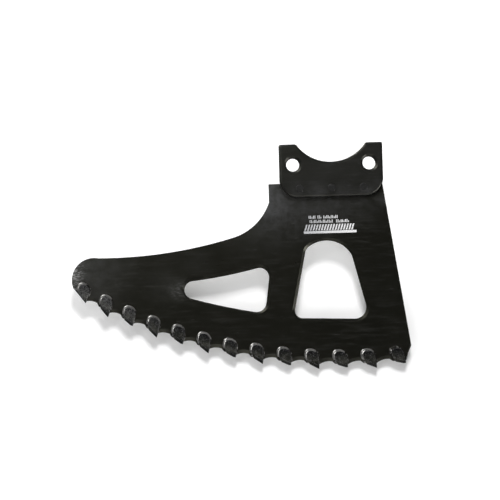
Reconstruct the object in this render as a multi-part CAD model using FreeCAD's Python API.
import FreeCAD, Part

import math
import os

os.makedirs("parts", exist_ok=True)

V = FreeCAD.Vector

# Masonry saw blade. It stands upright in the XZ plane with its teeth down and the toe towards -X.
# The outer face looks towards -Y. The origin is midway between the two bolt holes, on the bracket's
# seating face. All sizes are in millimetres.

# ---- Driving dimensions ------------------------------------------------------------------------------------

# Mounting bracket: its seating face is the plane y = 0. Below that face the plate lies in a shallow rebate.
hole_spacing = 52.4
hole_radius = 4.5
hole_chamfer = 1.5
bracket_thickness = 6.0
bracket_half_width = 35.6
bracket_top = 14.2
bracket_bottom = -22.1
bracket_corner = 12.0
horn_corner = 1.2
horn_nose = 2.5
saddle_radius = 28.6
saddle_floor = 1.6
lip_start = -8.0
lip_bend_radius = 60.0
bracket_edge = 2.0
rebate_depth = 0.5
rebate_top = -12.0

# Rivets through the bracket's lip and the plate
rivet_radius = 2.6
rivet_spacing = 22.0
rivet_height = -16.4
rivet_proud = 0.3
rivet_edge = 0.25

# Blade plate
plate_thickness = 3.0
plate_front = -rebate_depth
plate_back = plate_front + plate_thickness
shoulder_x = -43.2
shoulder_top = -12.5
shoulder_foot = -25.0
neck_right_x = 35.1
heel_top = (52.0, -126.4)
heel_foot = (49.5, -131.7)
toe_centre = (-166.0, -74.2)
toe_radius = 14.7
toe_top_offset = 4.0
window_bevel = 1.2
gullet_bevel_width = 2.6
gullet_bevel_depth = 1.4
plate_edge = 0.4

# Windows: corners in order, then the arcs' middle points, then the corner radii. Each has its opening's
# outline and its rim's, where the bevel meets the outer face. The toe window's bevel is widest on top.
toe_opening = (
    ((-129.5, -79.4), (-43.4, -67.8), (-47.9, -101.6)),
    (-85.8, -76.5), (-80.0, -95.0), (6.1, 6.6, 7.0))
toe_rim = (
    ((-140.2, -75.8), (-41.1, -64.9), (-46.0, -102.8)),
    (-86.1, -73.8), (-80.0, -95.9), (8.0, 8.6, 8.4))
heel_opening = (
    ((-18.7, -58.2), (13.0, -63.0), (24.3, -107.4), (-28.6, -105.4)),
    (-6.5, -52.6), (6.0, 9.0, 8.0, 5.4))
heel_rim = (
    ((-20.4, -57.3), (14.8, -62.3), (26.8, -109.4), (-30.9, -107.2)),
    (-6.7, -50.7), (7.9, 10.9, 9.9, 7.3))

# Teeth: their tips lie on one circle, and the pitch grows slowly from toe to heel.
tooth_count = 13
circle_centre = (11.6, 225.7)
circle_radius = 367.45
heel_angle = -84.28
heel_pitch = 3.16
pitch_step = 0.032
blunt_depth = 1.5
blunt_land = 1.6
blunt_land_drop = 0.1

# Tooth outline, as (distance ahead of the tip, depth above the tip circle)
back_start = (-10.8, 5.6)
back_heel = (-8.9, 3.9)
gullet_top = (5.0, 5.4)
seat_foot = (-8.2, 3.84)
seat_points = [(-10.2, 7.6), (-10.3, 9.6), (-9.6, 12.4), (-6.8, 13.6), (-1.7, 12.2), (-0.1, 9.0), (0.5, 3.6)]
tip_heel = (-6.8, 3.1)
tip_points = [(-9.0, 7.4), (-9.1, 9.4), (-8.5, 11.6), (-6.4, 12.6), (-2.4, 11.5), (-0.9, 8.8), (-0.1, 3.4)]
carbide_proud = 0.5
carbide_edge = 0.3
seam_proud = 0.3

# Relief ground along each tooth's back on the outer face, across the plate, the seam and the tip
relief_width = 1.9
relief_depth = 0.9
relief_length = 16.0

# The first tooth's back is ground away along one line, given in its own tooth outline's terms.
toe_trim = ((-13.5, 7.3), (1.5, 1.1))

# How far the cutting tools reach past the faces they cut
past = 1.0


# ---- Helpers -----------------------------------------------------------------------------------------------

def point(p, y=0.0):
    return V(p[0], y, p[1])


def line(p, q):
    return Part.makeLine(point(p), point(q))


def arc(p, middle, q):
    return Part.Arc(point(p), point(middle), point(q)).toShape()


def slab(edges, front, back):
    """A flat solid with this closed outline, from y = front to y = back."""
    face = Part.Face(Part.Wire(Part.__sortEdges__(edges)))
    face.translate(V(0, front, 0))
    return face.extrude(V(0, back - front, 0))


def cylinder(radius, x, z, front, back):
    return Part.makeCylinder(radius, back - front, V(x, front, z), V(0, 1, 0))


def on_plane(edge, y):
    """True when the whole edge lies in the plane at this y."""
    return abs(edge.BoundBox.YMin - y) < 1e-4 and abs(edge.BoundBox.YMax - y) < 1e-4


def save(shape, node):
    shape.exportStep("parts/" + node + ".step")


# ---- Teeth -------------------------------------------------------------------------------------------------

def tooth_angle(tooth):
    """Direction of a tooth from the tip circle's centre, in degrees. Tooth 1 is at the toe."""
    steps = tooth_count - tooth
    return heel_angle - heel_pitch * steps + pitch_step * steps * (steps - 1) / 2


def on_tooth(tooth, local):
    """Place a point given as (ahead of the tip, depth above the tip circle)."""
    ahead, depth = local
    angle = math.radians(tooth_angle(tooth))
    reach = circle_radius - depth
    x = circle_centre[0] + reach * math.cos(angle) - ahead * math.sin(angle)
    z = circle_centre[1] + reach * math.sin(angle) + ahead * math.cos(angle)
    return (x, z)


def is_blunt(tooth):
    return tooth % 2 == 1


def land(tooth):
    """Where the straight back ends: at the tip itself, or at the short land of a blunt tooth."""
    if is_blunt(tooth):
        return (-blunt_land, blunt_depth - blunt_land_drop)
    return (0.0, 0.0)


def pocket_line(tooth, foot, points):
    """The round-topped line round a carbide tip, from the tooth's back over the top to its face."""
    p = [on_tooth(tooth, local) for local in (foot, *points)]
    return [
        line(p[0], p[1]),
        line(p[1], p[2]),
        arc(p[2], p[3], p[4]),
        arc(p[4], p[5], p[6]),
        line(p[6], p[7]),
    ]


def seam_foot():
    """Where the seam's inner line meets the level of its seat's foot, on the tip's side."""
    share = (seat_foot[1] - tip_heel[1]) / (tip_points[0][1] - tip_heel[1])
    return (tip_heel[0] + share * (tip_points[0][0] - tip_heel[0]), seat_foot[1])


def relief(tooth):
    """The wedge that grinding takes off the outer face along a tooth's back."""
    start = V(*on_tooth(tooth, back_start), 0)
    along = (V(*on_tooth(tooth, land(tooth)), 0) - start).normalize()
    inward = V(-along.y, along.x, 0)
    face_y = plate_front - carbide_proud
    slope = relief_depth / relief_width
    reach = 3.0
    section = [
        (-reach, face_y + relief_depth + reach * slope),
        (relief_width + reach, face_y - reach * slope),
        (-reach, face_y - reach * slope),
    ]
    corners = []
    for distance, y in section:
        place = start + inward * distance
        corners.append(V(place.x, y, place.y))
    face = Part.Face(Part.makePolygon(corners + corners[:1]))
    return face.extrude(V(along.x, 0, along.y) * relief_length)


def ground(body, tooth):
    """Take the relief off a body, and the trimmed back off the first tooth."""
    body = body.cut(relief(tooth))
    if tooth > 1:
        return body
    left, right = toe_trim
    corners = [on_tooth(tooth, p) for p in (left, right, (right[0], -5.0), (left[0], -5.0))]
    edges = [line(p, q) for p, q in zip(corners, corners[1:] + corners[:1])]
    return body.cut(slab(edges, plate_front - carbide_proud - past, plate_back + past))


def carbide_tip(tooth):
    """One hard-metal tip. It fills its seat and stands proud of the plate's outer face."""
    heel, face_top = on_tooth(tooth, tip_heel), on_tooth(tooth, tip_points[-1])
    edges = pocket_line(tooth, tip_heel, tip_points)
    if is_blunt(tooth):
        point_end = on_tooth(tooth, (0.0, blunt_depth))
        land_start = on_tooth(tooth, land(tooth))
        edges += [line(face_top, point_end), line(point_end, land_start), line(land_start, heel)]
    else:
        point_end = on_tooth(tooth, (0.0, 0.0))
        edges += [line(face_top, point_end), line(point_end, heel)]
    face_y = plate_front - carbide_proud
    body = slab(edges, face_y, plate_back)
    body = body.makeChamfer(carbide_edge, [e for e in body.Edges if on_plane(e, face_y)])
    return ground(body, tooth)


def braze_seam(tooth):
    """The filler metal between a tip and its seat."""
    outer = pocket_line(tooth, seat_foot, seat_points)
    inner = pocket_line(tooth, seam_foot(), tip_points)
    ends = [
        line(on_tooth(tooth, seat_foot), on_tooth(tooth, seam_foot())),
        line(on_tooth(tooth, seat_points[-1]), on_tooth(tooth, tip_points[-1])),
    ]
    return ground(slab(outer + inner + ends, plate_front - seam_proud, plate_back), tooth)


# ---- Blade plate -------------------------------------------------------------------------------------------

def tooth_row():
    """The plate's lower edge from heel to toe: seats, backs and gullets."""
    edges = []
    for tooth in range(tooth_count, 0, -1):
        start, heel = on_tooth(tooth, back_start), on_tooth(tooth, back_heel)
        edges += pocket_line(tooth, seat_foot, seat_points)
        edges.append(line(on_tooth(tooth, seat_foot), heel))
        edges.append(line(heel, start))
        if tooth > 1:
            ahead_of = tooth - 1
            gullet_end = on_tooth(ahead_of, seat_points[-1])
            edges.append(arc(gullet_end, on_tooth(ahead_of, gullet_top), start))
    return edges


def plate_outline():
    heel_end = on_tooth(tooth_count, seat_points[-1])
    toe_end = on_tooth(1, back_start)
    toe_rise = math.sqrt(toe_radius ** 2 - toe_top_offset ** 2)
    toe_top = (toe_centre[0] + toe_top_offset, toe_centre[1] + toe_rise)
    toe_front = (toe_centre[0] - toe_radius, toe_centre[1])
    neck_start = (shoulder_x, shoulder_foot)
    neck_middle = (-50.5, -37.3)
    neck_end = (-67.8, -48.4)
    back_middle = (-112.0, -57.5)
    return [
        line((shoulder_x, shoulder_top), (neck_right_x, shoulder_top)),
        line((neck_right_x, shoulder_top), heel_top),
        line(heel_top, heel_foot),
        line(heel_foot, heel_end),
        *tooth_row(),
        arc(toe_end, toe_front, toe_top),
        arc(toe_top, back_middle, neck_end),
        arc(neck_end, neck_middle, neck_start),
        line(neck_start, (shoulder_x, shoulder_top)),
    ]


def rounded(corners, edges, radii):
    """A cutting tool with this outline, each corner's upright edge rounded to its own radius."""
    front, back = plate_front - past, plate_back + past
    tool = slab(edges, front, back)
    for corner, radius in zip(corners, radii):
        upright = Part.makeLine(point(corner, front), point(corner, back))
        found = [e for e in tool.Edges if e.BoundBox.YLength > 1 and e.distToShape(upright)[0] < 1e-3]
        found = [e for e in found if abs(e.BoundBox.Center.x - corner[0]) < 1e-3]
        tool = tool.makeFillet(radius, found)
    return tool


def toe_window(corners, top_bulge, foot_bulge, radii):
    """Long three-sided window between the toe and the neck. Its corners are its nose, top and foot."""
    nose, top, foot = corners
    return rounded(corners, [arc(nose, top_bulge, top), line(top, foot), arc(foot, foot_bulge, nose)], radii)


def heel_window(corners, dome, radii):
    """Tall window with a domed top under the bracket. Its corners start at its toe-side shoulder."""
    left_shoulder, right_shoulder, right_foot, left_foot = corners
    edges = [
        arc(left_shoulder, dome, right_shoulder),
        line(right_shoulder, right_foot),
        line(right_foot, left_foot),
        line(left_foot, left_shoulder),
    ]
    return rounded(corners, edges, radii)


def gullet_cone(tooth):
    """The conical cut that bevels the outer edge of the gullet ahead of a tooth."""
    start = on_tooth(tooth, seat_points[-1])
    end = on_tooth(tooth + 1, back_start)
    circle = arc(start, on_tooth(tooth, gullet_top), end).Curve
    centre = V(circle.Center.x, plate_front, circle.Center.z)
    wide = circle.Radius + gullet_bevel_width
    return Part.makeCone(wide, circle.Radius, gullet_bevel_depth, centre, V(0, 1, 0))


def line_round(tool, y):
    """The closed line round a cutting tool, moved to this y."""
    end = min(tool.Faces, key=lambda face: face.CenterOfMass.y)
    wire = end.OuterWire
    wire.translate(V(0, y - end.CenterOfMass.y, 0))
    return wire


def borders(edge, walls):
    """True when the middle of an edge lies on one of these walls."""
    middle = Part.Vertex(edge.valueAt((edge.FirstParameter + edge.LastParameter) / 2))
    return any(middle.distToShape(wall)[0] < 1e-3 for wall in walls)


def with_window(body, tool, rim):
    """Cut one window. Its bevel runs from the rim on the outer face down to the opening itself."""
    mouth = [line_round(rim, plate_front), line_round(tool, plate_front + window_bevel)]
    body = body.cut(tool).cut(Part.makeLoft(mouth, True, True))
    walls = [f for f in tool.Faces if f.BoundBox.YLength > 1]
    inner = [e for e in body.Edges if on_plane(e, plate_back) and borders(e, walls)]
    return body.makeChamfer(plate_edge, inner)


def blade_plate():
    body = slab(plate_outline(), plate_front, plate_back)
    body = with_window(body, toe_window(*toe_opening), toe_window(*toe_rim))
    body = with_window(body, heel_window(*heel_opening), heel_window(*heel_rim))
    for tooth in range(1, tooth_count):
        body = body.cut(gullet_cone(tooth))
    for tooth in range(1, tooth_count + 1):
        body = ground(body, tooth)
    for x in (-rivet_spacing, 0.0, rivet_spacing):
        body = body.cut(cylinder(rivet_radius, x, rivet_height, plate_front - past, plate_back + past))
    return body


# ---- Mounting bracket --------------------------------------------------------------------------------------

def bracket_outline():
    w, top, foot, r = bracket_half_width, bracket_top, bracket_bottom, bracket_corner
    centre_z = saddle_floor + saddle_radius
    reach = math.sqrt(saddle_radius ** 2 - (centre_z - top) ** 2)
    corner_mid = r * (1 - math.sqrt(0.5))
    return [
        line((-w, top), (-reach, top)),
        arc((-reach, top), (0.0, saddle_floor), (reach, top)),
        line((reach, top), (w, top)),
        line((w, top), (w, foot + r)),
        arc((w, foot + r), (w - corner_mid, foot + corner_mid), (w - r, foot)),
        line((w - r, foot), (r - w, foot)),
        arc((r - w, foot), (corner_mid - w, foot + corner_mid), (-w, foot + r)),
        line((-w, foot + r), (-w, top)),
    ]


def from_side(edge):
    """How far an upright edge stands from the bracket's nearer side."""
    return bracket_half_width - abs(edge.BoundBox.XMin)


def round_horns(body):
    """Round the four upright edges at the horns' tops."""
    def upright(solid):
        tall = [e for e in solid.Edges if e.BoundBox.YLength > 1]
        return [e for e in tall if abs(e.BoundBox.ZMin - bracket_top) < 1e-4]

    body = body.makeFillet(horn_corner, [e for e in upright(body) if from_side(e) < 1e-3])
    return body.makeFillet(horn_nose, [e for e in upright(body) if from_side(e) > horn_nose])


def side_profile(extra=0.0):
    """The bracket's side view, drawn across its whole width: flat above, and curving back along the lip.

    With extra above zero, the outer face stands that much further out.
    """
    w = bracket_half_width + past
    face_y = -bracket_thickness - extra
    radius = lip_bend_radius + extra
    centre_y = face_y + radius
    over_top, under_foot = bracket_top + past, bracket_bottom - past

    def bend(z):
        return V(-w, centre_y - math.sqrt(radius ** 2 - (lip_start - z) ** 2), z)

    foot, middle, start = bend(under_foot), bend((lip_start + under_foot) / 2), bend(lip_start)
    edges = [
        Part.makeLine(V(-w, 0, over_top), V(-w, 0, under_foot)),
        Part.makeLine(V(-w, 0, under_foot), foot),
        Part.Arc(foot, middle, start).toShape(),
        Part.makeLine(start, V(-w, face_y, over_top)),
        Part.makeLine(V(-w, face_y, over_top), V(-w, 0, over_top)),
    ]
    return Part.Face(Part.Wire(Part.__sortEdges__(edges))).extrude(V(2 * w, 0, 0))


def outer_rim(body):
    """Edges round the bracket's outer face, without the fold line where the lip begins."""
    rim = []
    for edge in body.Edges:
        box = edge.BoundBox
        fold = box.ZLength < 0.1 and abs(box.Center.z - lip_start) < 0.1
        if box.YMax < -bracket_thickness / 2 and not fold:
            rim.append(edge)
    return rim


def mounting_bracket():
    body = slab(bracket_outline(), -bracket_thickness, 0.0)
    body = round_horns(body)
    body = body.common(side_profile())
    body = body.makeFillet(bracket_edge, outer_rim(body))
    w, foot = bracket_half_width + past, bracket_bottom - past
    body = body.cut(Part.makeBox(2 * w, rebate_depth + past, rebate_top - foot, V(-w, -rebate_depth, foot)))
    for x in (-hole_spacing / 2, hole_spacing / 2):
        body = body.cut(cylinder(hole_radius, x, 0.0, -bracket_thickness - past, past))
        mouth = Part.makeCone(
            hole_radius + hole_chamfer, hole_radius, hole_chamfer,
            V(x, -bracket_thickness, 0), V(0, 1, 0))
        body = body.cut(mouth)
    for x in (-rivet_spacing, 0.0, rivet_spacing):
        body = body.cut(cylinder(rivet_radius, x, rivet_height, -bracket_thickness - past, past))
    return body


# ---- Rivets ------------------------------------------------------------------------------------------------

def lip_rivet(x):
    """A rivet flush with the plate's inner face. Its head stands a little proud of the lip."""
    under_lip = -rebate_depth
    shank = cylinder(rivet_radius, x, rivet_height, under_lip, plate_back)
    head = cylinder(rivet_radius, x, rivet_height, -bracket_thickness - past, under_lip)
    head = head.common(side_profile(rivet_proud))
    body = shank.fuse(head).removeSplitter()
    rim = [e for e in body.Edges if e.BoundBox.YMax < -bracket_thickness / 2]
    return body.makeFillet(rivet_edge, rim)


# ---- Parts -------------------------------------------------------------------------------------------------

save(blade_plate(), "blade_plate")
save(mounting_bracket(), "mounting_bracket")
for number in range(1, tooth_count + 1):
    save(carbide_tip(number), "carbide_tip_%02d" % number)
    save(braze_seam(number), "braze_seam_%02d" % number)
rivets = [lip_rivet(x) for x in (-rivet_spacing, 0.0, rivet_spacing)]
save(Part.makeCompound(rivets), "lip_rivets")
